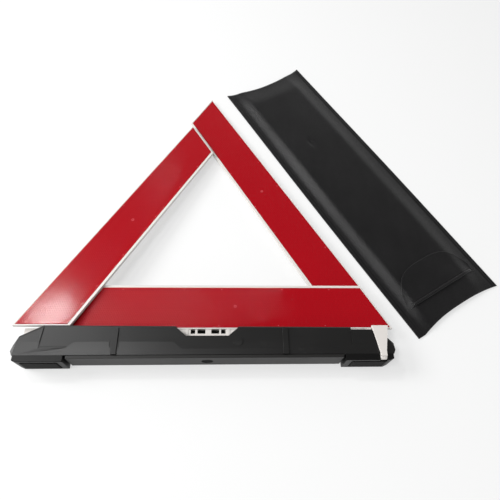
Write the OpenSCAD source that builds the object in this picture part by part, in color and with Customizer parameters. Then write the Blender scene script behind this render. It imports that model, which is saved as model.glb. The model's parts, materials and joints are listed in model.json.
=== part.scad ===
// Folding warning triangle laid flat, with its cross leg, fold latch and soft cover beside it.
// X runs along the base, Y towards the apex, Z away from the surface that it lies on.
// The origin is on the flat back of the base, on the outer edge line of the triangle.

/* [Triangle] */
// Length of one outer edge of the red triangle
side = 430; // [350:5:480]
// Width of one red band
band_w = 50; // [42:1:56]
// Width of the white rim along the inner edge of a band
rim_inner = 3; // [2:0.5:4]
// Width of the white rim along the outer edge of a band
rim_outer = 1.4; // [1:0.2:2]
// Thickness of one arm, frame and lens together
arm_t = 4.4; // [4:0.2:5]
// Thickness of a red lens
lens_t = 2.4; // [2:0.1:2.6]
// How far the tip of the right arm passes the left outer edge
tip_over = 10; // [2:1:12]
// How far the right arm is set outward from its ideal place
right_out = 1.4; // [0:0.2:2]
// Diameter of the arm rivets
rivet_d = 6; // [4:0.5:8]

/* [Base] */
// Height of the base shells along Y
base_h = 33.4; // [30:0.2:40]
// Thickness of the base from back to front
base_t = 31.4; // [30.8:0.2:34]
// Wall thickness of the shells
wall = 2.1; // [1.8:0.1:2.4]
// Width of the notch in the front shell
notch_w = 72; // [50:2:90]
// Depth of the notch in the front shell
notch_h = 12.4; // [9:0.2:14]
// Diameter of the shell screws
screw_d = 3.5; // [3:0.5:4]

/* [Cross leg] */
// Length of the cross leg
leg_len = 304; // [240:4:316]
// Width of the cross leg
leg_w = 28.4; // [24:0.4:29]
// Thickness of the cross leg
leg_t = 3.6; // [3.2:0.2:5]
// Diameter of the leg bolt shank
bolt_d = 8; // [6:0.5:9]

/* [Latch] */
// Width of the latch at its free end
latch_w = 19; // [14:1:24]
// Thickness of the latch plate
latch_t = 3; // [2:0.2:3.4]
// Diameter of the latch pin
pin_d = 2.4; // [2:0.2:3]

/* [Cover] */
// Length of the soft cover
cover_len = 468; // [400:4:500]
// Width of the soft cover
cover_w = 140; // [110:2:160]
// Height of the soft cover at its middle
cover_t = 6; // [4:0.5:12]
// Width of the welded border
weld_w = 7; // [4:0.5:10]

/* [Hidden] */
$fn = 64;
sin60 = sin(60);
half = side / 2;
apex_y = side * sin60;
pivot_x = half - band_w * cos(30);
pivot_y = band_w / 2;
run_gap = 0.05;
free_gap = 0.3;

// Heights of the three arm layers, at mid thickness
bottom_z = 19;
left_z = bottom_z + arm_t + 1.6;
right_z = bottom_z - arm_t - 1.2;
right_slope = asin((right_z - arm_t / 2 - 0.4) / (apex_y + tip_over - pivot_y));
left_end_y = apex_y - (band_w + rim_inner);
layer_drop = arm_t + 0.45;
left_slope = asin((left_z - right_z - layer_drop) / (left_end_y - pivot_y)) + right_slope;
lens_z0 = arm_t / 2 + 0.1 - lens_t;
lug_z = bottom_z + lens_z0;
floor_t = 1;
pocket_floor = (arm_t + 0.1 - lens_t) * 0.8 / 2.1;
head_r = rivet_d / 2 + 3;
head_t = lens_z0 + arm_t / 2 - pocket_floor - 2 * free_gap;
washer_r = head_r + 2;
rib_step = 38;

// Base outline
base_half = half - 4;
shoulder_x = half - 34;
tail_x = half - 29;
lip_y = 0.2;
lip_fall = 3;
edge_in = 3;
crown_y = -19.2;
edge_drop = wall - 0.3;
relief_d = 1;
flange_y = -13;
flange_x1 = half - 24;
flange_x0 = -(half - 10);
face_z = base_t - wall;
seam_z = bottom_z - arm_t / 2;
post_r = 4.6;
post_y = -9.6;
post_xs = [-135, -60, 60, 135] * side / 430;
band_xs = [-101.2, 87.5] * side / 430;
clip_w = 6;
rail_y0 = -base_h + 4.9;
rail_y1 = post_y - 5.9;
foot_h = 7.4;
foot_gap = 2.2;
foot_x0 = leg_len / 2 + foot_gap;
foot_x1 = base_half - 3;
foot_t = base_t - 2;
leg_y = -base_h - 0.3 - leg_t / 2;
leg_z = 1 + leg_w / 2;
bolt_head_r = 6;
latch_x = half - 18.5;
latch_y = -base_h - 3.2;
latch_z = base_t - 3.5;
barrel_r = 3.2;
barrel_w = 7;

cover_c = [196, 229] + [(side - 430) * 0.6, (side - 430) * 0.5];
cover_turn = 30;
cover_sheet = 0.8;
cover_u = cover_w / 2;
cover_v = cover_len / 2;
tongue_v = cover_v - 78;
slit_v = cover_v - 36;

white = "#e9e9e6";
black = "#1c1c1e";
red = "#b30d16";
steel = "#b8bcc0";
rubber = "#2a2a2c";
soft = "#17181a";

// One band, drawn along +X from its full corner, inward towards -Y
function start_x(d, e) = (e + d / 2) / sin60;
function end_x(d, c) = side - (band_w + c + d / 2) / sin60;
function band_points(d0, d1, e, c) = [
    [start_x(d0, e), -d0],
    [end_x(d0, c), -d0],
    [end_x(d1, c), -d1],
    [start_x(d1, e), -d1]
];

module band(d0, d1, e, c) {
    polygon(band_points(d0, d1, e, c));
}

module left_plan() {
    translate([-half, 0])
        rotate(60)
            children();
}

module bottom_plan() {
    translate([half, 0])
        rotate(180)
            children();
}

module right_plan() {
    translate([0, apex_y])
        rotate(300)
            translate([0, right_out])
                children();
}

// Each moving arm lies in a plane through its pivot that falls towards the apex
module left_plane() {
    translate([0, pivot_y, left_z])
        rotate([-left_slope, 0, 0])
            translate([0, -pivot_y, 0])
                children();
}

module right_plane() {
    translate([0, pivot_y, right_z])
        rotate([-right_slope, 0, 0])
            translate([0, -pivot_y, 0])
                children();
}

module slab(z0, z1) {
    translate([0, 0, z0])
        linear_extrude(z1 - z0)
            children();
}

// Tray that holds a lens, with ribs behind its floor
module tray(d0, d1, e, c) {
    z0 = -arm_t / 2;
    slab(z0, arm_t / 2)
        difference() {
            band(d0, d1, e, c);
            band(0, band_w, e + rim_outer, c + rim_outer);
        }
    slab(lens_z0 - floor_t, lens_z0)
        band(d0, d1, e, c);
    slab(z0, lens_z0)
        intersection() {
            band(d0, d1, e, c);
            union() {
                for (x = [rib_step : rib_step : side]) {
                    translate([x, -band_w / 2])
                        square([1.6, 2 * band_w], center = true);
                }
                translate([0, -band_w / 2 - 0.8])
                    square([side, 1.6]);
            }
        }
}

module lens(e, c) {
    slab(lens_z0, arm_t / 2 + 0.1)
        band(0.15, band_w - 0.15, e, c);
}

module arm_rivet(down) {
    z_top = lens_z0 - free_gap;
    translate([0, 0, -down])
        cylinder(d = rivet_d, h = z_top + down);
    translate([0, 0, z_top - head_t])
        cylinder(r = head_r, h = head_t);
}

module left_arm_frame() {
    color(white)
        left_plane()
            difference() {
                union() {
                    left_plan()
                        tray(-rim_outer, band_w + rim_inner, 0.5, rim_inner - 0.4);
                    translate([-pivot_x, pivot_y, -arm_t / 2])
                        cylinder(r = washer_r + 2, h = lens_z0 + arm_t / 2);
                }
                translate([-pivot_x, pivot_y, -arm_t])
                    cylinder(d = rivet_d + 2 * run_gap, h = 2 * arm_t);
                translate([-pivot_x, pivot_y, -arm_t / 2 + pocket_floor])
                    cylinder(r = head_r + 0.6, h = arm_t);
            }
}

module left_lens() {
    color(red)
        left_plane()
            left_plan()
                lens(2.2, rim_inner + 1.2);
}

module right_arm_frame() {
    color(white)
        right_plane()
            difference() {
                union() {
                    right_plan()
                        tray(-rim_outer, band_w + rim_inner, -tip_over, rim_inner - 4);
                    slab(-arm_t / 2, lens_z0)
                        difference() {
                            hull() {
                                translate([pivot_x, pivot_y])
                                    circle(r = band_w / 2 + 1);
                                right_plan()
                                    translate([side - band_w * 1.9, -band_w / 2])
                                        circle(r = band_w / 2 + 1);
                            }
                            translate([pivot_x - 2 * band_w, band_w + rim_inner - 2])
                                square(4 * band_w);
                        }
                }
                translate([pivot_x, pivot_y, -arm_t])
                    cylinder(d = rivet_d + 2 * run_gap, h = 2 * arm_t);
            }
}

module right_lens() {
    color(red)
        right_plane()
            right_plan()
                lens(-tip_over + 1.7, rim_inner - 2.4);
}

module window_row(y0, y1) {
    for (w = [[-19.5, 5], [-11.8, 9], [4, 9], [15.2, 5]]) {
        translate([w[0], y0])
            square([w[1], y1 - y0]);
    }
}

module chassis() {
    z0 = bottom_z - arm_t / 2;
    z1 = bottom_z + arm_t / 2;
    color(white)
        difference() {
            union() {
                translate([0, 0, bottom_z])
                    bottom_plan()
                        tray(-rim_outer, band_w + rim_inner, 0.5, -0.2);
                slab(z0, z1 - 1)
                    difference() {
                        translate([flange_x0, flange_y])
                            square([flange_x1 - flange_x0, -flange_y]);
                        window_row(-6.8, -1.6);
                        translate([half - 43, -9])
                            square([11, 2.5]);
                    }
                slab(z0, lug_z)
                    hull() {
                        translate([-pivot_x, pivot_y])
                            circle(r = band_w / 2 - 3);
                        translate([-pivot_x + band_w * 0.7, 3])
                            square([10, band_w - 6]);
                    }
                slab(z0, z1 - 0.4)
                    for (s = [-1, 1]) {
                        translate([s * notch_w * 0.33 - 1.5, flange_y + 2])
                            square([3, 10]);
                    }
                slab(z0, z1)
                    translate([half - 29, -9])
                        square([3.6, 9]);
                slab(z0, bottom_z + lens_z0)
                    translate([pivot_x, pivot_y])
                        circle(r = head_r + 3);
            }
            for (x = post_xs) {
                translate([x, post_y, z0 - 1])
                    cylinder(d = screw_d + 0.6, h = arm_t + 2);
            }
            left_plane()
                translate([-pivot_x, pivot_y, -4 * arm_t])
                    cylinder(d = rivet_d, h = 8 * arm_t);
            right_plane()
                translate([pivot_x, pivot_y, -4 * arm_t])
                    cylinder(d = rivet_d, h = 8 * arm_t);
            right_plane()
                translate([pivot_x, pivot_y, bottom_z - right_z + lens_z0 - free_gap - head_t])
                    cylinder(r = head_r + 0.6, h = arm_t);
        }
}

module bottom_lens() {
    color(red)
        translate([0, 0, bottom_z])
            bottom_plan()
                lens(2.2, rim_inner - 1);
}

module left_arm_rivet() {
    color(steel)
        left_plane()
            translate([-pivot_x, pivot_y, 0])
                arm_rivet(left_z - bottom_z + arm_t / 2 - 0.3);
}

module right_arm_rivet() {
    down = bottom_z - right_z + arm_t / 2 + free_gap;
    color(steel)
        right_plane()
            translate([pivot_x, pivot_y, bottom_z - right_z]) {
                arm_rivet(down);
                translate([0, 0, -down - 1])
                    cylinder(r = head_r, h = 1);
            }
}

module left_pivot_washer() {
    color(steel)
        translate([-pivot_x, pivot_y, lug_z])
            difference() {
                cylinder(r = washer_r, h = left_z - arm_t / 2 - 0.8 - lug_z);
                translate([0, 0, -1])
                    cylinder(d = rivet_d + 1, h = 2 * arm_t);
            }
}

module right_pivot_washer() {
    color(steel)
        translate([pivot_x, pivot_y, bottom_z - arm_t / 2 - 0.5])
            difference() {
                cylinder(r = washer_r, h = 0.5);
                translate([0, 0, -1])
                    cylinder(d = rivet_d + 1, h = 4);
            }
}

// Outline of the base seen from the front
function base_points(grow, front) = [
    [-shoulder_x, lip_y + grow],
    [-(half - 10) - grow, -12.3 + grow / 2],
    [-(half - 5.7) - grow, -22.5],
    [-base_half - grow, -base_h + front + 4.4],
    [-(half - 6) - grow, -base_h + front],
    [half - 6 + grow, -base_h + front],
    [base_half + grow, -base_h + front + 4.4],
    [half - 5 + grow, -21.5],
    [half - 12 + grow, -14 + grow / 2],
    [tail_x, lip_y - lip_fall + grow]
];

module base_plan(grow) {
    polygon(base_points(grow, -grow));
}

// Flat top of the face, inside its sloping edges
function crown_points() = [
    [-shoulder_x + edge_in / 2, lip_y - edge_in],
    [-(half - 10) + edge_in, -14],
    [-(half - 6) + edge_in, crown_y],
    [half - 6 - edge_in, crown_y],
    [half - 11.5 - edge_in, -15],
    [tail_x - edge_in / 2, lip_y - lip_fall - edge_in]
];

module notch_plan() {
    polygon([
        [-notch_w / 2, 2],
        [notch_w / 2, 2],
        [notch_w / 2 - 2, -3.4],
        [notch_w * 0.33, -notch_h],
        [-notch_w * 0.33, -notch_h],
        [-notch_w / 2 + 2, -3.4]
    ]);
}

module latch_plan(grow) {
    polygon([
        [latch_x - latch_w / 2 - grow, -1.5 + 3 * grow],
        [latch_x + latch_w / 2 + grow, -1.5 + 3 * grow],
        [latch_x + barrel_w / 2 + grow, -base_h + 2],
        [latch_x + barrel_w / 2 + grow, -base_h - 3.2],
        [latch_x - barrel_w / 2 - grow, -base_h - 3.2],
        [latch_x - barrel_w / 2 - grow, -base_h + 2]
    ]);
}

// Shallow field sunk in the upper part of the face
module field_plan() {
    polygon([
        [-half + 36, 10],
        [-half + 33, -25],
        [-half + 63, -25],
        [-half + 71, -19],
        [-36.7, -19.5],
        [-28, -27.3],
        [half - 52, -27.3],
        [half - 52, 10]
    ]);
}

module base_front_shell() {
    color(black)
        difference() {
            union() {
                difference() {
                    hull() {
                        slab(seam_z + 6, base_t - edge_drop)
                            base_plan(0);
                        slab(base_t - 0.1, base_t)
                            polygon(crown_points());
                    }
                    slab(seam_z, face_z)
                        base_plan(-wall);
                    slab(seam_z, face_z)
                        translate([-half - 3, flange_y - 0.4])
                            square([side + 6, 18]);
                }
                slab(bottom_z + arm_t / 2 - 1, face_z + 0.5)
                    for (x = post_xs) {
                        translate([x, post_y])
                            circle(r = post_r);
                    }
            }
            slab(base_t - relief_d, base_t + 1)
                difference() {
                    field_plan();
                    translate([34, -18.8])
                        circle(r = 5.5);
                }
            slab(face_z - 1, base_t + 2)
                notch_plan();
            slab(face_z - 0.5, base_t + 2)
                translate([tail_x - 23, -6])
                    square([26, 10]);
            slab(face_z - 0.3, base_t + 2)
                latch_plan(0.6);
            translate([-half + 33, -25.8, base_t - 1.5])
                cube([30, 1.6, 2]);
            for (x = band_xs) {
                slab(base_t - 0.8, base_t + 2)
                    translate([x - clip_w / 2 - 2.5, -base_h - 1])
                        square([clip_w + 5, base_h + 4]);
            }
            for (x = band_xs) {
                slab(seam_z, base_t - 0.7)
                    translate([x - clip_w / 2 - 0.2, -base_h - 1])
                        square([clip_w + 0.4, 2]);
            }
            for (x = post_xs) {
                translate([x, post_y, seam_z])
                    cylinder(d = screw_d, h = face_z - seam_z - 0.4);
            }
        }
}

module base_rear_shell() {
    color(black)
        difference() {
            union() {
                difference() {
                    union() {
                        slab(0, seam_z + 6)
                            base_plan(0);
                        slab(0, 8.6)
                            translate([-shoulder_x, -5])
                                square([shoulder_x + tail_x, 10]);
                    }
                    slab(wall, seam_z + 7)
                        difference() {
                            base_plan(-wall);
                            translate([0, -base_h])
                                circle(r = bolt_head_r + 5);
                        }
                    slab(wall + 3, seam_z + 7)
                        translate([-half - 3, -8])
                            square([side + 6, 16]);
                }
                slab(1, seam_z)
                    for (x = post_xs) {
                        translate([x, post_y])
                            circle(r = post_r);
                    }
                slab(1, wall + 3)
                    for (s = [-1, 1], y = [rail_y0, rail_y1]) {
                        translate([s * 98 * side / 430 - 40, y - 1])
                            square([80, 1.6]);
                    }
            }
            for (x = post_xs) {
                translate([x, post_y, -1])
                    cylinder(d = screw_d + 0.4, h = seam_z + 2);
                translate([x, post_y, -1])
                    cylinder(d = screw_d + 3.6, h = 4);
            }
            for (x = band_xs) {
                slab(-1, seam_z + 8)
                    translate([x - clip_w / 2 - 0.2, -base_h - 1])
                        square([clip_w + 0.4, 2]);
            }
            translate([0, -base_h - 1, leg_z])
                rotate([-90, 0, 0])
                    cylinder(d = bolt_d - 2, h = 10);
            slab(seam_z, seam_z + 8)
                translate([-half - 3, flange_y - 0.4])
                    square([side + 6, 18]);
        }
}

module band_clips() {
    color(black)
        for (x = band_xs) {
            slab(base_t - 0.8, base_t + 0.5)
                translate([x - clip_w / 2, -base_h + 1])
                    square([clip_w, base_h - 4.4]);
            slab(4, base_t + 0.5)
                translate([x - clip_w / 2, -base_h])
                    square([clip_w, 1]);
        }
}

module ballast_bars() {
    color(steel)
        for (s = [-1, 1]) {
            translate([s * 98 * side / 430 - 38, rail_y0 + 0.6, wall])
                cube([76, rail_y1 - rail_y0 - 1.6, 8]);
        }
}

module shell_screws() {
    color(steel)
        for (x = post_xs) {
            translate([x, post_y, 3 - 2.2])
                cylinder(d = screw_d + 3, h = 2.2);
            translate([x, post_y, 2])
                cylinder(d = screw_d, h = face_z - 4);
        }
}

module foot_block(s) {
    difference() {
        hull() {
            translate([s * (foot_x0 + 8), -base_h - foot_h / 2, 0.3 + foot_t / 2])
                cube([16, foot_h, foot_t], center = true);
            translate([s * (foot_x1 - 6), -base_h - foot_h / 2 + 1, 0.3 + foot_t / 2])
                cube([12, foot_h - 2, foot_t], center = true);
            translate([s * (foot_x1 - 12), -base_h - foot_h / 2, 0.3 + foot_t / 2])
                cube([14, foot_h, foot_t], center = true);
        }
        translate([s * (foot_x0 + foot_x1) / 2, -base_h - foot_h - 0.1, foot_t / 2])
            cube([foot_x1 - foot_x0 - 14, 2, foot_t - 8], center = true);
    }
}

module left_foot() {
    color(black)
        foot_block(-1);
}

module right_foot() {
    color(black)
        difference() {
            foot_block(1);
            slab(latch_z - barrel_r - 1.2, base_t + 2)
                translate([latch_x - barrel_w / 2 - 0.6, -base_h - foot_h - 1])
                    square([barrel_w + 1.2, foot_h + 2]);
            translate([latch_x, latch_y, latch_z])
                rotate([0, 90, 0])
                    cylinder(d = pin_d, h = barrel_w + 8, center = true);
        }
}

module foot_pads() {
    color(rubber)
        for (s = [-1, 1]) {
            translate([s * (foot_x0 + foot_x1) / 2, -base_h - foot_h + 0.15, foot_t / 2])
                cube([foot_x1 - foot_x0 - 15, 1.5, foot_t - 9], center = true);
        }
}

module cross_leg() {
    y0 = leg_y - leg_t / 2;
    y1 = leg_y + leg_t / 2;
    color(black)
        difference() {
            union() {
                translate([-leg_len / 2, y0, leg_z - leg_w / 2])
                    cube([leg_len, leg_t, leg_w]);
            }
            for (s = [-1, 1]) {
                translate([s * leg_len * 0.27, y1, leg_z])
                    cube([leg_len * 0.38, 2 * (leg_t - 1.4), leg_w - 4], center = true);
            }
            translate([0, y0 - 1, leg_z])
                rotate([-90, 0, 0])
                    cylinder(d = bolt_d + 2 * run_gap, h = leg_t + 2);
            translate([0, y0 - 1, leg_z])
                rotate([-90, 0, 0])
                    cylinder(r = bolt_head_r + 0.5, h = 1 + leg_t - 1.2);
        }
}

module leg_ribs() {
    y1 = leg_y + leg_t / 2;
    color(black)
        for (s = [-1, 1], k = [-1, 0, 1]) {
            translate([s * leg_len * 0.27 + k * leg_len * 0.09 - 0.8, y1 - leg_t + 1.4, leg_z - leg_w / 2 + 2])
                cube([1.6, leg_t - 1.6, leg_w - 4]);
        }
}

module leg_bolt() {
    y0 = leg_y - leg_t / 2;
    color(steel)
        difference() {
            union() {
                translate([0, y0 + leg_t - 1.2 - free_gap - 1.3, leg_z])
                    rotate([-90, 0, 0])
                        cylinder(r = bolt_head_r, h = 1.3);
                translate([0, y0 + leg_t - 1.2 - free_gap, leg_z])
                    rotate([-90, 0, 0])
                        cylinder(d = bolt_d, h = 1.2 + 2 * free_gap);
                translate([0, y0 + leg_t - 1.2, leg_z])
                    rotate([-90, 0, 0])
                        cylinder(d = bolt_d - 2, h = 8);
            }
            translate([-4, y0 - 0.1, leg_z - 0.6])
                cube([8, leg_t - 1.8, 1.2]);
        }
}

module fold_latch() {
    color(white)
        difference() {
            union() {
                slab(face_z + 0.3, face_z + 0.3 + latch_t)
                    latch_plan(0);
                translate([latch_x, latch_y, latch_z])
                    rotate([0, 90, 0])
                        cylinder(r = barrel_r, h = barrel_w, center = true);
                translate([latch_x - barrel_w / 2, latch_y, latch_z])
                    cube([barrel_w, 3, face_z + 0.3 + latch_t - latch_z]);
            }
            translate([latch_x, latch_y, latch_z])
                rotate([0, 90, 0])
                    cylinder(d = pin_d + 2 * run_gap, h = barrel_w + 2, center = true);
        }
}

module latch_pin() {
    color(steel)
        translate([latch_x, latch_y, latch_z])
            rotate([0, 90, 0])
                cylinder(d = pin_d, h = barrel_w + 7, center = true);
}

module latch_spring() {
    color(steel)
        union() {
            translate([latch_x - 3, -base_h + wall, seam_z + 7])
                cube([6, 0.5, face_z - seam_z - 8]);
            translate([latch_x - 3, -base_h + wall, face_z - 1.5])
                cube([6, 12, 0.5]);
        }
}

// Cover placed by its middle, with v along its length
module cover_plan() {
    translate(cover_c)
        rotate(cover_turn)
            children();
}

module cover_outline(inset) {
    square([cover_w - 2 * inset, cover_len - 2 * inset], center = true);
}

module cover_back() {
    color(soft)
        cover_plan()
            slab(0, cover_sheet)
                cover_outline(0);
}

module cover_front() {
    color(soft)
        cover_plan()
            union() {
                slab(cover_sheet, 2 * cover_sheet)
                    cover_outline(0.8);
                hull() {
                    slab(cover_sheet, 2 * cover_sheet)
                        cover_outline(weld_w);
                    slab(cover_t - 1, cover_t)
                        cover_outline(weld_w + 16);
                }
            }
}

module cover_tongue() {
    color(soft)
        cover_plan()
            slab(cover_t, cover_t + cover_sheet)
                hull() {
                    translate([-cover_u + weld_w + 17, -cover_v + weld_w + 17])
                        square([cover_w - 2 * weld_w - 34, 4]);
                    for (s = [-1, 1]) {
                        translate([s * (cover_u - 42), -tongue_v - 18])
                            circle(r = 18);
                    }
                }
}

module cover_slit_strap() {
    color(soft)
        cover_plan()
            slab(cover_t + cover_sheet, cover_t + 2 * cover_sheet)
                translate([-cover_u + 22, -slit_v - 2])
                    square([cover_w - 44, 4]);
}

base_front_shell();
base_rear_shell();
band_clips();
ballast_bars();
shell_screws();
left_foot();
right_foot();
foot_pads();
chassis();
bottom_lens();
left_arm_frame();
left_lens();
left_arm_rivet();
left_pivot_washer();
right_arm_frame();
right_lens();
right_arm_rivet();
right_pivot_washer();
cross_leg();
leg_ribs();
leg_bolt();
fold_latch();
latch_pin();
latch_spring();
cover_back();
cover_front();
cover_tongue();
cover_slit_strap();
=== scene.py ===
"""Folding warning triangle laid flat on a pale floor, with its soft cover beside it."""

import json
import logging
import math
from abc import ABC, abstractmethod
from dataclasses import dataclass, field
from enum import Enum
from typing import Any, Callable, Iterable, Sequence

import bpy
import numpy as np
from mathutils import Matrix, Vector

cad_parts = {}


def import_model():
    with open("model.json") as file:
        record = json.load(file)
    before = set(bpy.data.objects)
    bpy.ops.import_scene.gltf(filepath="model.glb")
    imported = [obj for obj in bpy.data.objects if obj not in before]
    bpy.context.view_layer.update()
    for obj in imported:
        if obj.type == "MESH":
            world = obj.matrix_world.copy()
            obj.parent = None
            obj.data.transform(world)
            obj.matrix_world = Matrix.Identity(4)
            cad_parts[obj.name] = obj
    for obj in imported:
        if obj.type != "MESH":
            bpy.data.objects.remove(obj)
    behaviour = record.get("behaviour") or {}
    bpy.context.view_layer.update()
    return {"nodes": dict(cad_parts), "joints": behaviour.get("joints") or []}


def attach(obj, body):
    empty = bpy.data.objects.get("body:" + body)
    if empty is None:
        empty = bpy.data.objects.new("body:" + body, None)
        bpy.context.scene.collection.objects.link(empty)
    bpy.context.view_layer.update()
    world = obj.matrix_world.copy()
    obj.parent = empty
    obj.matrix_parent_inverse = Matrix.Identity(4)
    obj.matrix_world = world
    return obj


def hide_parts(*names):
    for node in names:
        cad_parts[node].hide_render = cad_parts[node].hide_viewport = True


LOG = logging.getLogger("triangle")
MM = 0.001


class Body(Enum):
    """The rigid bodies that pieces ride on."""

    BASE = "base"
    LEFT_ARM = "left_arm"
    RIGHT_ARM = "right_arm"
    LEG = "leg"
    LATCH = "latch"


# ---------------------------------------------------------------- shader tools


class Wire:
    """A shader output that arithmetic can be written on."""

    def __init__(self, shader: "Shader", socket: bpy.types.NodeSocket) -> None:
        """Keeps the shader and the socket.

        Args:
            shader: The material that the socket belongs to.
            socket: The output socket.
        """
        self.shader = shader
        self.socket = socket

    def math(self, operation: str, *others: Any) -> "Wire":
        """Adds a Math node with this wire as its first value.

        Args:
            operation: The Math node's operation.
            *others: The other values, wires or numbers.

        Returns:
            The node's result.
        """
        values = {i: v for i, v in enumerate((self, *others))}
        return self.shader.node("ShaderNodeMath", {"operation": operation}, values)

    def __add__(self, other: Any) -> "Wire":
        """This plus another."""
        return self.math("ADD", other)

    def __radd__(self, other: Any) -> "Wire":
        """Another plus this."""
        return self.math("ADD", other)

    def __sub__(self, other: Any) -> "Wire":
        """This minus another."""
        return self.math("SUBTRACT", other)

    def __rsub__(self, other: Any) -> "Wire":
        """Another minus this."""
        return (self * -1.0) + other

    def __mul__(self, other: Any) -> "Wire":
        """This times another."""
        return self.math("MULTIPLY", other)

    def __rmul__(self, other: Any) -> "Wire":
        """Another times this."""
        return self.math("MULTIPLY", other)

    def __abs__(self) -> "Wire":
        """The size of this without its sign."""
        return self.math("ABSOLUTE")

    def maximum(self, other: Any) -> "Wire":
        """The higher of this and another."""
        return self.math("MAXIMUM", other)

    def step(self, low: float, high: float) -> "Wire":
        """A smooth step from 0 at low to 1 at high.

        Args:
            low: Where the step starts.
            high: Where the step ends.

        Returns:
            The stepped value.
        """
        return self.shader.node(
            "ShaderNodeMapRange",
            {"interpolation_type": "SMOOTHSTEP"},
            {"Value": self, "From Min": low, "From Max": high},
        )


class Shader:
    """One material or world and the nodes in it."""

    def __init__(self, holder: bpy.types.Material | bpy.types.World) -> None:
        """Empties the nodes of a material or world.

        Args:
            holder: The new material or world.
        """
        self.holder = holder
        holder.use_nodes = True
        self.tree = holder.node_tree
        self.tree.nodes.clear()

    def raw(
        self,
        kind: str,
        settings: dict[str, Any] | None = None,
        values: dict[Any, Any] | None = None,
    ) -> bpy.types.Node:
        """Adds any node.

        Args:
            kind: The node's type.
            settings: Its settings, set before its sockets.
            values: The values or wires of its sockets, by name or number.

        Returns:
            The node.
        """
        node = self.tree.nodes.new(kind)
        for key, value in (settings or {}).items():
            setattr(node, key, value)
        for key, value in (values or {}).items():
            socket = node.inputs[key]
            if isinstance(value, Wire):
                self.tree.links.new(value.socket, socket)
            else:
                socket.default_value = value
        return node

    def node(
        self,
        kind: str,
        settings: dict[str, Any] | None = None,
        values: dict[Any, Any] | None = None,
        out: Any = 0,
    ) -> Wire:
        """Adds any node and takes one of its outputs.

        Args:
            kind: The node's type.
            settings: Its settings.
            values: The values or wires of its sockets.
            out: The output's name or number.

        Returns:
            The output.
        """
        return Wire(self, self.raw(kind, settings, values).outputs[out])

    def place(self) -> Wire:
        """The point on the piece, in its own metres."""
        return self.node("ShaderNodeTexCoord", out="Object")

    def path(self, kind: str) -> Wire:
        """1 for rays of one kind, such as Is Camera Ray, and 0 for others."""
        return self.node("ShaderNodeLightPath", out=kind)

    def split(self, vector: Wire) -> tuple[Wire, Wire, Wire]:
        """The three parts of a vector.

        Args:
            vector: The vector.

        Returns:
            Its x, y and z.
        """
        node = self.raw("ShaderNodeSeparateXYZ", values={0: vector})
        return tuple(Wire(self, node.outputs[i]) for i in range(3))

    def noise(
        self,
        scale: float,
        detail: float = 3.0,
        rough: float = 0.5,
        at: Wire | None = None,
    ) -> Wire:
        """Noise between 0 and 1.

        Args:
            scale: Features per metre.
            detail: Octaves.
            rough: How strong the fine octaves are.
            at: Where it is read, the piece's own point by default.

        Returns:
            The noise.
        """
        where = at if at is not None else self.place()
        return self.node(
            "ShaderNodeTexNoise",
            values={"Vector": where, "Scale": scale, "Detail": detail, "Roughness": rough},
        )

    def turned(self, angle: float, stretch: Sequence[float] = (1, 1, 1)) -> Wire:
        """The piece's own point, turned about Z and stretched.

        Args:
            angle: The turn in radians.
            stretch: The scale along each axis after the turn.

        Returns:
            The turned point.
        """
        return self.node(
            "ShaderNodeMapping",
            values={"Vector": self.place(), "Rotation": (0, 0, angle), "Scale": tuple(stretch)},
        )

    def mix(self, factor: Any, first: Any, second: Any) -> Wire:
        """Blends two colours.

        Args:
            factor: 0 for the first and 1 for the second.
            first: A colour or wire.
            second: A colour or wire.

        Returns:
            The blend.
        """
        return self.node(
            "ShaderNodeMix",
            {"data_type": "RGBA"},
            {0: factor, 6: first, 7: second},
            out=2,
        )

    def bump(self, height: Wire, depth: float, strength: float = 1.0) -> Wire:
        """A bumped normal.

        Args:
            height: The height, from 0 to 1.
            depth: The depth in metres that 1 stands for.
            strength: How much of the bump shows.

        Returns:
            The normal.
        """
        return self.node(
            "ShaderNodeBump", values={"Height": height, "Distance": depth, "Strength": strength}
        )

    def finish(self, shader: Wire) -> bpy.types.Material:
        """Joins a surface shader to the output.

        Args:
            shader: The surface shader.

        Returns:
            The finished material.
        """
        self.raw("ShaderNodeOutputMaterial", values={"Surface": shader})
        return self.holder


def rgba(colour: Sequence[float]) -> tuple[float, float, float, float]:
    """A colour with full alpha."""
    return (colour[0], colour[1], colour[2], 1.0)


class Finish(ABC):
    """A surface finish that makes its material once."""

    name: str
    slot: str

    def material(self) -> bpy.types.Material:
        """The finish's material, made on first use."""
        found = bpy.data.materials.get(self.name)
        return found if found else self.make(Shader(bpy.data.materials.new(self.name)))

    @abstractmethod
    def make(self, sh: Shader) -> bpy.types.Material:
        """Builds the material.

        Args:
            sh: The empty material.

        Returns:
            The finished material.
        """


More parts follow.
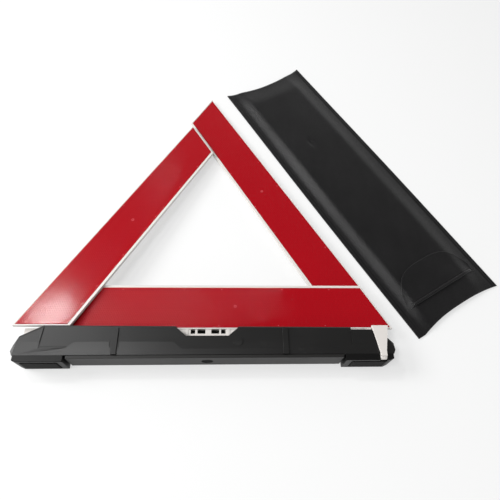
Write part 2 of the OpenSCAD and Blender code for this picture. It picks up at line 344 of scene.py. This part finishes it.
@dataclass(frozen=True)
class Moulded(Finish):
    """Moulded plastic with spark-eroded grain, flow marks and rubbed patches.

    Scales are features per metre, and depth is the grain's depth in metres.
    """

    name: str
    slot: str
    colour: tuple[float, float, float]
    worn: tuple[float, float, float]
    rough: float = 0.42
    grain: float = 1800.0
    depth: float = 0.03 * MM
    gloss: float = 0.5
    cloud_scale: float = 14.0
    flow_scale: float = 60.0
    scuff_scale: float = 140.0

    def make(self, sh: Shader) -> bpy.types.Material:
        """Builds the plastic's material.

        Args:
            sh: The empty material.

        Returns:
            The finished material.
        """
        cloud = sh.noise(self.cloud_scale, 4.0)
        fine = sh.noise(self.grain, 2.0)
        flow = sh.noise(self.flow_scale, 3.0, 0.6, sh.turned(0.0, (0.25, 1.6, 1.0)))
        scuff = (sh.noise(self.scuff_scale, 6.0, 0.75) * cloud).step(0.34, 0.46)
        tone = sh.mix(scuff * 0.5 + cloud * 0.25, rgba(self.colour), rgba(self.worn))
        rough = cloud * 0.10 + flow * 0.08 + fine * 0.05 + scuff * 0.08 + (self.rough - 0.13)
        height = fine * 0.7 + flow * 0.5
        return sh.finish(
            sh.node(
                "ShaderNodeBsdfPrincipled",
                values={
                    "Base Color": tone,
                    "Roughness": rough,
                    "Normal": sh.bump(height, self.depth),
                    "Specular IOR Level": self.gloss,
                },
            )
        )


@dataclass(frozen=True)
class PrismLens(Finish):
    """Clear red lens moulded over small corner prisms in six-sided cells, with a little dust."""

    name: str
    slot: str
    angle: float
    colour: tuple[float, float, float] = (0.40, 0.0028, 0.0085)
    dark: tuple[float, float, float] = (0.29, 0.0015, 0.006)
    dusty: tuple[float, float, float] = (0.55, 0.18, 0.18)
    cell: float = 2.6 * MM
    rough: float = 0.07
    depth: float = 0.09 * MM
    gloss: float = 0.28

    def hexes(self, sh: Shader) -> Wire:
        """Distance from the nearest cell wall, from 0 on a wall to about 0.5 in a cell's middle.

        Args:
            sh: The material being built.

        Returns:
            The distance as a share of the cell's width.
        """
        x, y, _ = sh.split(sh.turned(self.angle, (1 / self.cell, 1 / self.cell, 1)))
        tall = math.sqrt(3.0)
        found = []
        for shift_x, shift_y in ((0.0, 0.0), (0.5, tall / 2)):
            dx = abs((x + shift_x).math("FLOORED_MODULO", 1.0) - 0.5)
            dy = abs((y + shift_y).math("FLOORED_MODULO", tall) - tall / 2)
            found.append(0.5 - dx.maximum(dx * 0.5 + dy * (tall / 2)))
        return found[0].maximum(found[1])

    def make(self, sh: Shader) -> bpy.types.Material:
        """Builds the lens's material.

        Args:
            sh: The empty material.

        Returns:
            The finished material.
        """
        wall = self.hexes(sh)
        cell = wall.step(0.02, 0.16)
        cloud = sh.noise(9.0, 3.0)
        rows = sh.noise(120.0, 2.0, 0.5, sh.turned(self.angle, (1, 6, 1)))
        dust = sh.noise(900.0, 3.0, 0.6).step(0.66, 0.8)
        tone = sh.mix(cell * 0.55 + cloud * 0.45, rgba(self.dark), rgba(self.colour))
        tone = sh.mix(dust * 0.08, tone, rgba(self.dusty))
        rough = rows * 0.06 + cloud * 0.04 + dust * 0.2 + self.rough
        height = cell * 0.9 + rows * 0.5 + cloud * 0.5
        return sh.finish(
            sh.node(
                "ShaderNodeBsdfPrincipled",
                values={
                    "Base Color": tone,
                    "Roughness": rough,
                    "Normal": sh.bump(height, self.depth),
                    "Specular IOR Level": self.gloss,
                },
            )
        )


@dataclass(frozen=True)
class Steel(Finish):
    """Zinc-plated steel with drawn lines and dull patches."""

    name: str = "plated_steel"
    slot: str = "steel"
    dull: tuple[float, float, float] = (0.52, 0.53, 0.54)
    bright: tuple[float, float, float] = (0.68, 0.68, 0.66)
    rough: float = 0.2
    depth: float = 0.02 * MM

    def make(self, sh: Shader) -> bpy.types.Material:
        """Builds the steel's material.

        Args:
            sh: The empty material.

        Returns:
            The finished material.
        """
        drawn = sh.noise(700.0, 3.0, 0.6, sh.turned(0.6, (1, 0.06, 1)))
        cloud = sh.noise(160.0, 4.0)
        tone = sh.mix(cloud, rgba(self.dull), rgba(self.bright))
        return sh.finish(
            sh.node(
                "ShaderNodeBsdfPrincipled",
                values={
                    "Base Color": tone,
                    "Metallic": 1.0,
                    "Roughness": drawn * 0.2 + cloud * 0.15 + self.rough,
                    "Normal": sh.bump(drawn, self.depth),
                },
            )
        )


@dataclass(frozen=True)
class Vinyl(Finish):
    """Soft black vinyl sheet with a fine pebble grain and rubbed folds."""

    name: str = "soft_vinyl"
    slot: str = "soft_black"
    colour: tuple[float, float, float] = (0.0065, 0.0062, 0.0066)
    rubbed: tuple[float, float, float] = (0.014, 0.0136, 0.0140)
    linty: tuple[float, float, float] = (0.12, 0.12, 0.12)
    pebbles: float = 900.0
    fold_turn: float = math.radians(-30)
    rough: float = 0.38
    depth: float = 0.22 * MM
    gloss: float = 0.24
    sheen: float = 0.03

    def make(self, sh: Shader) -> bpy.types.Material:
        """Builds the vinyl's material.

        Args:
            sh: The empty material.

        Returns:
            The finished material.
        """
        pebble = sh.node(
            "ShaderNodeTexVoronoi",
            {"feature": "DISTANCE_TO_EDGE"},
            {"Vector": sh.place(), "Scale": self.pebbles},
        ).step(0.0, 0.25)
        cloud = sh.noise(18.0, 5.0, 0.6)
        crease = sh.noise(45.0, 5.0, 0.7, sh.turned(self.fold_turn, (1.8, 0.35, 1)))
        lint = sh.noise(1300.0, 4.0, 0.7).step(0.70, 0.82)
        tone = sh.mix(crease * cloud * 1.3, rgba(self.colour), rgba(self.rubbed))
        tone = sh.mix(lint * 0.25, tone, rgba(self.linty))
        return sh.finish(
            sh.node(
                "ShaderNodeBsdfPrincipled",
                values={
                    "Base Color": tone,
                    "Roughness": cloud * 0.12 + crease * 0.08 + (self.rough - 0.10),
                    "Normal": sh.bump(pebble * 0.35 + crease + cloud * 1.2, self.depth, 0.8),
                    "Specular IOR Level": self.gloss,
                    "Sheen Weight": self.sheen,
                    "Sheen Roughness": 0.5,
                },
            )
        )


@dataclass(frozen=True)
class Paper(Finish):
    """Pale floor that stays near white to the eye and keeps soft shadows."""

    name: str = "pale_floor"
    slot: str = ""
    colour: tuple[float, float, float] = (0.86, 0.865, 0.86)
    mottled: tuple[float, float, float] = (0.83, 0.835, 0.84)
    rough: float = 0.75
    gloss: float = 0.2
    lift: float = 0.55

    def make(self, sh: Shader) -> bpy.types.Material:
        """Builds the floor's material.

        Args:
            sh: The empty material.

        Returns:
            The finished material.
        """
        seen = sh.path("Is Camera Ray").maximum(sh.path("Is Glossy Ray"))
        mottle = sh.noise(6.0, 3.0)
        tone = sh.mix(mottle * 0.3, rgba(self.colour), rgba(self.mottled))
        paper = sh.node(
            "ShaderNodeBsdfPrincipled",
            values={"Base Color": tone, "Roughness": self.rough, "Specular IOR Level": self.gloss},
        )
        glow = sh.node("ShaderNodeEmission", values={"Color": (1, 1, 1, 1), "Strength": 1.0})
        return sh.finish(
            sh.node("ShaderNodeMixShader", values={0: seen * self.lift, 1: paper, 2: glow})
        )


@dataclass(frozen=True)
class Palette:
    """Every finish of the object."""

    black: Moulded = Moulded(
        "black_moulding",
        "black_plastic",
        (0.0075, 0.0072, 0.007),
        (0.017, 0.017, 0.0165),
        rough=0.38,
        gloss=0.42,
    )
    # Darker than the shells' black moulding: this is painted shade on the feet.
    foot: Moulded = Moulded(
        "foot_moulding_painted_shade",
        "black_plastic",
        (0.0028, 0.0027, 0.0026),
        (0.007, 0.0068, 0.0065),
        rough=0.46,
        gloss=0.22,
    )
    leg: Moulded = Moulded(
        "leg_moulding",
        "black_plastic",
        (0.010, 0.0095, 0.009),
        (0.017, 0.016, 0.015),
        rough=0.52,
        gloss=0.35,
    )
    # The bolt's near-black colour is painted shade: it stands for the dark hole around the leg's bolt,
    # not a blackened steel finish.
    bolt: Moulded = Moulded(
        "bolt_as_painted_hole_shade",
        "steel",
        (0.0012, 0.0012, 0.0012),
        (0.004, 0.004, 0.004),
        rough=0.55,
        grain=2600.0,
        gloss=0.08,
    )
    scar: Moulded = Moulded(
        "weld_scar",
        "red_lens",
        (0.52, 0.035, 0.05),
        (0.60, 0.14, 0.15),
        rough=0.30,
        grain=2200.0,
    )
    white: Moulded = Moulded(
        "white_moulding",
        "white_plastic",
        (0.72, 0.685, 0.655),
        (0.62, 0.58, 0.54),
        rough=0.42,
        grain=1500.0,
        depth=0.02 * MM,
    )
    rubber: Moulded = Moulded(
        "foot_rubber",
        "rubber",
        (0.0030, 0.0028, 0.0026),
        (0.008, 0.0078, 0.0075),
        rough=0.75,
        grain=1200.0,
        depth=0.08 * MM,
        gloss=0.15,
    )
    left_lens: PrismLens = PrismLens("left_red_lens", "red_lens", math.radians(-60))
    bottom_lens: PrismLens = PrismLens("bottom_red_lens", "red_lens", 0.0)
    right_lens: PrismLens = PrismLens("right_red_lens", "red_lens", math.radians(60))
    steel: Steel = Steel()
    vinyl: Vinyl = Vinyl()


# ---------------------------------------------------------------- mesh tools


def mesh_object(
    name: str,
    verts: Iterable[Sequence[float]],
    faces: Iterable[Sequence[int]],
) -> bpy.types.Object:
    """Makes a mesh object in the scene.

    Args:
        name: The piece's name.
        verts: Its points, in metres.
        faces: Its faces, as point numbers.

    Returns:
        The object.
    """
    mesh = bpy.data.meshes.new(name)
    mesh.from_pydata([tuple(map(float, v)) for v in verts], [], [tuple(map(int, f)) for f in faces])
    mesh.validate()
    mesh.update()
    obj = bpy.data.objects.new(name, mesh)
    bpy.context.scene.collection.objects.link(obj)
    return obj


def grid_faces(rows: int, columns: int) -> list[tuple[int, int, int, int]]:
    """The quads of a grid whose points run row by row.

    Args:
        rows: Points down the grid.
        columns: Points across it.

    Returns:
        The quads.
    """
    return [
        (r * columns + c, r * columns + c + 1, (r + 1) * columns + c + 1, (r + 1) * columns + c)
        for r in range(rows - 1)
        for c in range(columns - 1)
    ]


def smooth(obj: bpy.types.Object) -> None:
    """Shades every face of a piece smooth."""
    obj.data.polygons.foreach_set("use_smooth", [True] * len(obj.data.polygons))


def rounded(obj: bpy.types.Object, width: float, angle: float = 32.0, segments: int = 2) -> None:
    """Softens a hard piece's edges, its own mesh left as it is.

    Args:
        obj: The piece.
        width: The width of the soft edge.
        angle: Edges sharper than this, in degrees, are softened.
        segments: Steps across the soft edge.
    """
    weld = obj.modifiers.new("weld", "WELD")
    weld.merge_threshold = 0.01 * MM
    bevel = obj.modifiers.new("soft_edges", "BEVEL")
    bevel.width = width
    bevel.segments = segments
    bevel.limit_method = "ANGLE"
    bevel.angle_limit = math.radians(angle)
    bevel.harden_normals = True
    bevel.use_clamp_overlap = True


def thicken(piece: bpy.types.Object, thickness: float) -> None:
    """Gives a sheet its thickness, downward from its top.

    Args:
        piece: The sheet.
        thickness: Its thickness in metres.
    """
    solid = piece.modifiers.new("thickness", "SOLIDIFY")
    solid.thickness = thickness
    solid.offset = -1


def dress(piece: bpy.types.Object, finish: Finish) -> bpy.types.Object:
    """Gives a piece its finish.

    Args:
        piece: The piece.
        finish: Its finish.

    Returns:
        The piece.
    """
    material = finish.material()
    if not piece.data.materials:
        piece.data.materials.append(material)
    for slot in piece.material_slots:
        slot.material = material
    return piece


def bumps(x: np.ndarray, y: np.ndarray, seed: int, waves: int, low: float, high: float) -> np.ndarray:
    """Soft unevenness made of a few seeded waves.

    Args:
        x: Positions across.
        y: Positions along.
        seed: The seed.
        waves: How many waves are summed.
        low: The longest wave's number of turns per metre.
        high: The shortest wave's number of turns per metre.

    Returns:
        Values around 0, about 1 high.
    """
    rng = np.random.default_rng(seed)
    total = np.zeros_like(x)
    for _ in range(waves):
        turn = rng.uniform(0, 2 * math.pi)
        rate = 2 * math.pi * rng.uniform(low, high)
        phase = rng.uniform(0, 2 * math.pi)
        total += np.sin(rate * (x * math.cos(turn) + y * math.sin(turn)) + phase)
    return total / math.sqrt(waves)


def ease(value: np.ndarray, low: float, high: float) -> np.ndarray:
    """A smooth step from 0 at low to 1 at high."""
    t = np.clip((value - low) / (high - low), 0.0, 1.0)
    return t * t * (3 - 2 * t)


# ---------------------------------------------------------------- sub-assemblies


@dataclass
class Arm:
    """One red band: where its plane lies and what is fixed to its lens."""

    name: str
    body: Body
    lens: str
    frame: str
    finish: PrismLens
    origin: Vector
    turn: float
    slope: float = 0.0
    pivot_y: float = 25 * MM
    side: float = 430 * MM
    band: float = 50 * MM
    proud: float = 2.3 * MM
    gate_along: float = 0.427
    gate_inward: float = 0.52
    gate_radii: tuple[float, ...] = (1.9 * MM, 1.7 * MM, 1.0 * MM, 0.8 * MM)
    gate_heights: tuple[float, ...] = (0.0, 0.16 * MM, 0.12 * MM, 0.0)
    weld_inset: float = 2.2 * MM
    weld_start: float = 78 * MM
    weld_stop: float = 85 * MM
    weld_pitch: float = 58 * MM
    weld_stray: float = 9 * MM
    disc_sides: int = 20

    def plane(self) -> Matrix:
        """The matrix from band places (along, outward, up) to the row frame."""
        tilt = (
            Matrix.Translation((0, self.pivot_y, self.origin.z))
            @ Matrix.Rotation(-self.slope, 4, "X")
            @ Matrix.Translation((0, -self.pivot_y, 0))
        )
        spot = Matrix.Translation((self.origin.x, self.origin.y, 0))
        return tilt @ spot @ Matrix.Rotation(self.turn, 4, "Z")

    def build(self, nodes: dict[str, bpy.types.Object], palette: Palette) -> None:
        """Dresses the arm's own nodes and adds the marks on its lens.

        Args:
            nodes: The nodes of the frame.
            palette: The finishes.
        """
        rounded(nodes[self.lens], 0.35 * MM)
        dress(nodes[self.lens], self.finish)
        if self.frame in nodes:
            rounded(nodes[self.frame], 0.3 * MM)
            dress(nodes[self.frame], palette.white)
        self.gate_mark(palette.scar)
        self.weld_marks(palette.scar)
        LOG.info("%s dressed", self.name)

    def disc(
        self,
        verts: list[Vector],
        faces: list[tuple[int, ...]],
        at: Vector,
        radii: Sequence[float],
        heights: Sequence[float],
    ) -> None:
        """Adds a small turned button to a mesh.

        Args:
            verts: The mesh's points so far.
            faces: The mesh's faces so far.
            at: The button's middle, in band places.
            radii: Its radius at each ring, from the outside in.
            heights: Its height at each ring.
        """
        count = self.disc_sides
        plane = self.plane()
        first = len(verts)
        for radius, height in zip(radii, heights):
            for k in range(count):
                turn = 2 * math.pi * k / count
                out = Vector((radius * math.cos(turn), radius * math.sin(turn), height))
                verts.append(plane @ (at + out))
        for ring in range(len(radii) - 1):
            for k in range(count):
                a = first + ring * count + k
                b = first + ring * count + (k + 1) % count
                faces.append((a, b, b + count, a + count))
        faces.append(tuple(first + (len(radii) - 1) * count + k for k in range(count)))

    def gate_mark(self, scar: Moulded) -> None:
        """Adds the round scar where the lens was filled from, at its middle.

        Args:
            scar: The scar's finish.
        """
        verts: list[Vector] = []
        faces: list[tuple[int, ...]] = []
        sunk = self.proud - 0.05 * MM
        middle = Vector((self.side * self.gate_along, -self.band * self.gate_inward, sunk))
        self.disc(verts, faces, middle, self.gate_radii, self.gate_heights)
        piece = mesh_object(f"{self.name}_gate_mark", verts, faces)
        smooth(piece)
        dress(piece, scar)
        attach(piece, self.body.value)

    def weld_marks(self, scar: Moulded) -> None:
        """Adds the small dimpled spots where the lens is welded to its frame.

        Args:
            scar: The spots' finish.
        """
        verts: list[Vector] = []
        faces: list[tuple[int, ...]] = []
        rng = np.random.default_rng(len(self.name))
        sunk = self.proud - 0.04 * MM
        for inward in (self.weld_inset, self.band - self.weld_inset):
            for along in np.arange(self.weld_start, self.side - self.weld_stop, self.weld_pitch):
                stray = rng.uniform(-self.weld_stray, self.weld_stray)
                at = Vector((along + stray, -inward, sunk))
                size = rng.uniform(0.6, 1.1) * MM
                self.disc(verts, faces, at, [size, size * 0.6], [0, 0.12 * MM])
        piece = mesh_object(f"{self.name}_weld_marks", verts, faces)
        smooth(piece)
        dress(piece, scar)
        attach(piece, self.body.value)


@dataclass
class Base:
    """The black shells, the white chassis between them and what is fixed to them."""

    edge: float = 0.7 * MM

    def build(self, nodes: dict[str, bpy.types.Object], palette: Palette) -> None:
        """Dresses the base's nodes.

        Args:
            nodes: The nodes of the frame.
            palette: The finishes.
        """
        finishes: dict[str, tuple[Finish, float]] = {
            "base_front_shell": (palette.black, self.edge),
            "base_rear_shell": (palette.black, self.edge),
            "band_clips": (palette.black, 0.4 * MM),
            "left_foot": (palette.foot, 1.2 * MM),
            "right_foot": (palette.foot, 0.8 * MM),
            "foot_pads": (palette.rubber, 0.3 * MM),
            "chassis": (palette.white, 0.25 * MM),
            "ballast_bars": (palette.steel, 0.3 * MM),
            "shell_screws": (palette.steel, 0.2 * MM),
            "left_arm_rivet": (palette.steel, 0.15 * MM),
            "right_arm_rivet": (palette.steel, 0.15 * MM),
            "left_pivot_washer": (palette.steel, 0.1 * MM),
            "right_pivot_washer": (palette.steel, 0.1 * MM),
            "leg_bolt": (palette.bolt, 0.15 * MM),
            "latch_pin": (palette.steel, 0.1 * MM),
            "latch_spring": (palette.steel, 0.1 * MM),
        }
        for name, (finish, width) in finishes.items():
            rounded(nodes[name], width)
            dress(nodes[name], finish)
        LOG.info("base dressed, %d pieces", len(finishes))


@dataclass
class Leg:
    """The cross leg under the base."""

    edge: float = 0.4 * MM

    def build(self, nodes: dict[str, bpy.types.Object], palette: Palette) -> None:
        """Dresses the leg's nodes.

        Args:
            nodes: The nodes of the frame.
            palette: The finishes.
        """
        for name in ("cross_leg", "leg_ribs"):
            rounded(nodes[name], self.edge)
            dress(nodes[name], palette.leg)
        LOG.info("leg dressed")


@dataclass
class Latch:
    """The white fold latch at the right end."""

    edge: float = 0.6 * MM

    def build(self, nodes: dict[str, bpy.types.Object], palette: Palette) -> None:
        """Dresses the latch.

        Args:
            nodes: The nodes of the frame.
            palette: The finishes.
        """
        rounded(nodes["fold_latch"], self.edge)
        dress(nodes["fold_latch"], palette.white)
        LOG.info("latch dressed")


@dataclass
class Cover:
    """The soft cover, two welded sheets with a tongue tucked under a strap."""

    width: float = 139 * MM
    length: float = 468 * MM
    middle: Vector = field(default_factory=lambda: Vector((0.196, 0.229, 0)))
    turn: float = math.radians(30)
    sheet: float = 0.8 * MM
    crown: float = 7.0 * MM
    border: float = 7.5 * MM
    left_rise: float = 26 * MM
    right_rise: float = 34 * MM
    end_rise: float = 40 * MM
    groove_lines: tuple[float, ...] = (2.6 * MM, 6.0 * MM)
    groove_width: float = 0.55 * MM
    groove_depth: float = 0.35 * MM
    dimple_at: tuple[float, float] = (-10 * MM, 81 * MM)
    dimple_half: tuple[float, float] = (3.0 * MM, 8.0 * MM)
    dimple_depth: float = 1.6 * MM
    slit_up: float = 34 * MM
    tongue_reach: float = 46 * MM
    tongue_half: float = 55 * MM
    strap_up: float = 36 * MM
    strap_half: float = 50 * MM
    strap_side: float = 1.6 * MM
    columns: int = 75
    rows: int = 201

    def world(self) -> Matrix:
        """The matrix from cover places (across, along, up) to the row frame."""
        return Matrix.Translation(self.middle) @ Matrix.Rotation(self.turn, 4, "Z")

    def outline(self, s: np.ndarray, t: np.ndarray) -> tuple[np.ndarray, np.ndarray]:
        """Places of the sheet for s across and t along, both from -1 to 1.

        Args:
            s: Share across.
            t: Share along, 1 at the open end.

        Returns:
            Metres across and along.
        """
        half_w = self.width / 2 * (1.0 + 0.012 * np.cos(2.4 * t + 0.4) - 0.012)
        x = s * half_w
        top_in = 12.0 * MM * (1 - np.abs(s) ** 2.2) * ease(t, 0.55, 1.0)
        low_in = 8.0 * MM * (1 - np.abs(s - 0.15) ** 2.4).clip(0) * ease(-t, 0.6, 1.0)
        y = t * self.length / 2 - top_in + low_in
        return x, y

    def height(self, x: np.ndarray, y: np.ndarray, s: np.ndarray, t: np.ndarray) -> np.ndarray:
        """Height of the upper sheet's top.

        Args:
            x: Metres across.
            y: Metres along.
            s: Share across.
            t: Share along.

        Returns:
            The height in metres.
        """
        from_left = (1 + s) * self.width / 2
        from_right = (1 - s) * self.width / 2
        left = ease(from_left, self.border, self.left_rise)
        right = ease(from_right, self.border, self.right_rise)
        ends = ease((1 - np.abs(t)) * self.length / 2, -6 * MM, self.end_rise)
        body = self.crown * left * (0.55 + 0.45 * right) * right ** 0.5 * (0.35 + 0.65 * ends)
        broad = bumps(x, y, 5, 7, 2.0, 7.0) * 0.55 * MM
        fine = bumps(x, y * 0.35, 9, 6, 9.0, 22.0) * 0.16 * MM
        inside = np.minimum(left, right) ** 0.7
        groove = np.zeros_like(x)
        for line in self.groove_lines:
            for gap in (from_left, from_right):
                groove += np.exp(-(((gap - line) / self.groove_width) ** 2))
        dimple_x = (x - self.dimple_at[0]) / self.dimple_half[0]
        dimple_y = (y - self.dimple_at[1]) / self.dimple_half[1]
        dimple = np.exp(-(dimple_x ** 2 + dimple_y ** 2))
        z = 2 * self.sheet + body + (broad + fine) * inside
        z = z - self.groove_depth * groove - self.dimple_depth * dimple
        return np.maximum(z, 1.15 * self.sheet)

    def height_at(self, x: float, y: float) -> float:
        """Height of the upper sheet's top at one place.

        Args:
            x: Metres across.
            y: Metres along.

        Returns:
            The height in metres.
        """
        across, along = np.array([x]), np.array([y])
        return float(self.height(across, along, across / (self.width / 2), along / (self.length / 2))[0])

    def sheet_piece(self, name: str, z_of: Callable[..., np.ndarray]) -> bpy.types.Object:
        """Makes one sheet over the whole cover.

        Args:
            name: The piece's name.
            z_of: Gives the sheet's top for places and shares.

        Returns:
            The piece, given its thickness.
        """
        share = np.linspace(-1, 1, self.columns)
        share = np.sign(share) * (1 - (1 - np.abs(share)) ** 1.35)
        along = np.linspace(-1, 1, self.rows)
        s, t = np.meshgrid(share, along)
        x, y = self.outline(s, t)
        z = z_of(x, y, s, t)
        world = self.world()
        verts = [world @ Vector(p) for p in zip(x.ravel(), y.ravel(), z.ravel())]
        piece = mesh_object(name, verts, grid_faces(self.rows, self.columns))
        smooth(piece)
        thicken(piece, self.sheet)
        return piece

    def tongue(self) -> bpy.types.Object:
        """Makes the tongue that closes the cover, laid over the upper sheet.

        Returns:
            The piece, given its thickness.
        """
        rows, columns = 41, 65
        verts = []
        world = self.world()
        for r in range(rows):
            q = r / (rows - 1)
            for c in range(columns):
                across = math.sin(math.pi / 2 * (2 * c / (columns - 1) - 1))
                round_off = max(0.06, 1 - abs(across) ** 3.2) ** 0.5
                x = across * self.tongue_half
                y = -self.length / 2 + self.slit_up + self.tongue_reach * q * round_off
                lift = 0.9 * MM + 0.9 * MM * q * q + 0.25 * MM * math.sin(5 * across + 3 * q)
                verts.append(world @ Vector((x, y, self.height_at(x, y) + lift)))
        piece = mesh_object("cover_tongue_sheet", verts, grid_faces(rows, columns))
        smooth(piece)
        thicken(piece, self.sheet * 0.7)
        return piece

    def strap(self) -> bpy.types.Object:
        """Makes the narrow strap that the tongue goes under.

        Returns:
            The piece, given its thickness.
        """
        verts = []
        world = self.world()
        count = 61
        profile = [(-1.0, 0.0), (-0.6875, 0.75), (0.0, 1.0), (0.6875, 0.75), (1.0, 0.0)]
        for k in range(count):
            x = self.strap_half * (2 * k / (count - 1) - 1)
            for across, up in profile:
                y = -self.length / 2 + self.strap_up + across * self.strap_side
                lift = (1.5 + 0.9 * up) * MM
                verts.append(world @ Vector((x, y, self.height_at(x, y) + lift)))
        piece = mesh_object("cover_strap_piece", verts, grid_faces(count, len(profile)))
        smooth(piece)
        thicken(piece, 0.5 * MM)
        return piece

    def build(self, palette: Palette) -> None:
        """Builds the cover's sheets, tongue and strap in place of the model's cover nodes.

        Args:
            palette: The finishes.
        """
        back_top = self.sheet * 0.95
        back = self.sheet_piece("cover_back_sheet", lambda x, y, s, t: np.full_like(x, back_top))
        front = self.sheet_piece("cover_front_sheet", self.height)
        tongue = self.tongue()
        strap = self.strap()
        for piece, node in (
            (back, "cover_back"),
            (front, "cover_front"),
            (tongue, "cover_tongue"),
            (strap, "cover_slit_strap"),
        ):
            dress(piece, palette.vinyl)
            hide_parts(node)
            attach(piece, Body.BASE.value)
            LOG.info("%s built", piece.name)


@dataclass
class Studio:
    """Floor, light and camera."""

    place: Vector = field(default_factory=lambda: Vector((0.02136, -0.16969, 0.51288)))
    azimuth: float = 6.07
    elevation: float = 60.93
    roll: float = 5.7
    lens: float = 32.06
    reach: float = 6.0
    drop: float = 0.2 * MM
    left_light: float = 0.4
    low_light: float = 0.75
    fill: float = 0.14

    def floor(self) -> None:
        """Makes the pale floor, just under the object so that the two share no plane."""
        turns = ((-1, -1), (1, -1), (1, 1), (-1, 1))
        verts = [(x * self.reach, y * self.reach, -self.drop) for x, y in turns]
        piece = mesh_object("floor", verts, [(0, 1, 2, 3)])
        dress(piece, Paper())

    def area(
        self,
        name: str,
        at: Vector,
        target: Vector,
        size: tuple[float, float],
        power: float,
    ) -> None:
        """Adds a flat soft lamp.

        Args:
            name: The lamp's name.
            at: Where it hangs.
            target: What it faces.
            size: Its two sides.
            power: Its power in watts.
        """
        data = bpy.data.lights.new(name, "AREA")
        data.shape = "RECTANGLE"
        data.size, data.size_y = size
        data.energy = power
        lamp = bpy.data.objects.new(name, data)
        lamp.location = at
        lamp.rotation_euler = (target - at).to_track_quat("-Z", "Y").to_euler()
        bpy.context.scene.collection.objects.link(lamp)

    def lights(self) -> None:
        """Hangs the lamps."""
        middle = Vector((0.05, 0.15, 0.0))
        left_band = Vector((-0.17, 0.02, 0.0))
        base_front = Vector((-0.15, -0.03, 0.0))
        self.area("key", Vector((-1.75, 0.55, 1.35)), middle, size=(0.8, 0.8), power=34.0)
        self.area("window", Vector((-0.89, 0.86, 1.7)), left_band, size=(0.20, 0.08), power=5.5)
        self.area("strip", Vector((-0.68, -0.26, 1.7)), base_front, size=(0.60, 0.26), power=11.0)

    def surroundings(self) -> None:
        """Sets a world that is white to the eye, bright on the left and dim on the right."""
        sh = Shader(bpy.data.worlds.new("studio"))
        across, _, up = sh.split(sh.node("ShaderNodeTexCoord", out="Generated"))
        left = across.step(0.0, -0.8)
        low = 1.0 - up.step(0.3, 0.65)
        glow = left * self.left_light + low * self.low_light + self.fill
        strength = sh.path("Is Camera Ray").maximum(glow)
        lit = sh.node("ShaderNodeBackground", values={"Color": (1, 1, 1, 1), "Strength": strength})
        sh.raw("ShaderNodeOutputWorld", values={"Surface": lit})
        bpy.context.scene.world = sh.holder

    def camera(self) -> None:
        """Makes the camera and sets it as the scene's."""
        data = bpy.data.cameras.new("camera")
        data.sensor_width = 36.0
        data.lens = self.lens
        data.clip_start = 0.01
        camera = bpy.data.objects.new("camera", data)
        az, el = math.radians(self.azimuth), math.radians(self.elevation)
        ahead = Vector((math.sin(az) * math.cos(el), math.cos(az) * math.cos(el), -math.sin(el)))
        level = ahead.to_track_quat("-Z", "Y").to_matrix().to_4x4()
        camera.matrix_world = (
            Matrix.Translation(self.place) @ level @ Matrix.Rotation(math.radians(self.roll), 4, "Z")
        )
        bpy.context.scene.collection.objects.link(camera)
        bpy.context.scene.camera = camera

    def build(self) -> None:
        """Builds the studio."""
        self.floor()
        self.lights()
        self.surroundings()
        self.camera()
        scene = bpy.context.scene
        scene.view_settings.view_transform = "Standard"
        LOG.info("studio built")


def main() -> None:
    """Builds the scene."""
    logging.basicConfig(level=logging.INFO, format="%(name)s: %(message)s")
    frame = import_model()
    nodes = frame["nodes"]
    joints = {j["name"]: j for j in frame["joints"]}
    palette = Palette()
    Studio().build()

    half = 215 * MM
    apex = 2 * half * math.sin(math.radians(60))
    tip_gap = 1.4 * MM
    bottom_z = 19 * MM
    left_hinge, right_hinge = joints["left_arm_fold"], joints["right_arm_fold"]
    left_slope = math.atan2(-left_hinge["axis"][1], -left_hinge["axis"][2])
    right_slope = math.atan2(right_hinge["axis"][1], right_hinge["axis"][2])
    arms = [
        Arm(
            name="left",
            body=Body.LEFT_ARM,
            lens="left_lens",
            frame="left_arm_frame",
            finish=palette.left_lens,
            origin=Vector((-half, 0, left_hinge["pos_m"][2])),
            turn=math.radians(60),
            slope=left_slope,
        ),
        Arm(
            name="right",
            body=Body.RIGHT_ARM,
            lens="right_lens",
            frame="right_arm_frame",
            finish=palette.right_lens,
            origin=Vector((0, apex + tip_gap, right_hinge["pos_m"][2])),
            turn=math.radians(300),
            slope=right_slope,
        ),
        Arm(
            name="bottom",
            body=Body.BASE,
            lens="bottom_lens",
            frame="",
            finish=palette.bottom_lens,
            origin=Vector((half, 0, bottom_z)),
            turn=math.radians(180),
        ),
    ]
    for arm in arms:
        arm.build(nodes, palette)
    Base().build(nodes, palette)
    Leg().build(nodes, palette)
    Latch().build(nodes, palette)
    Cover().build(palette)


if __name__ == "__main__":
    main()
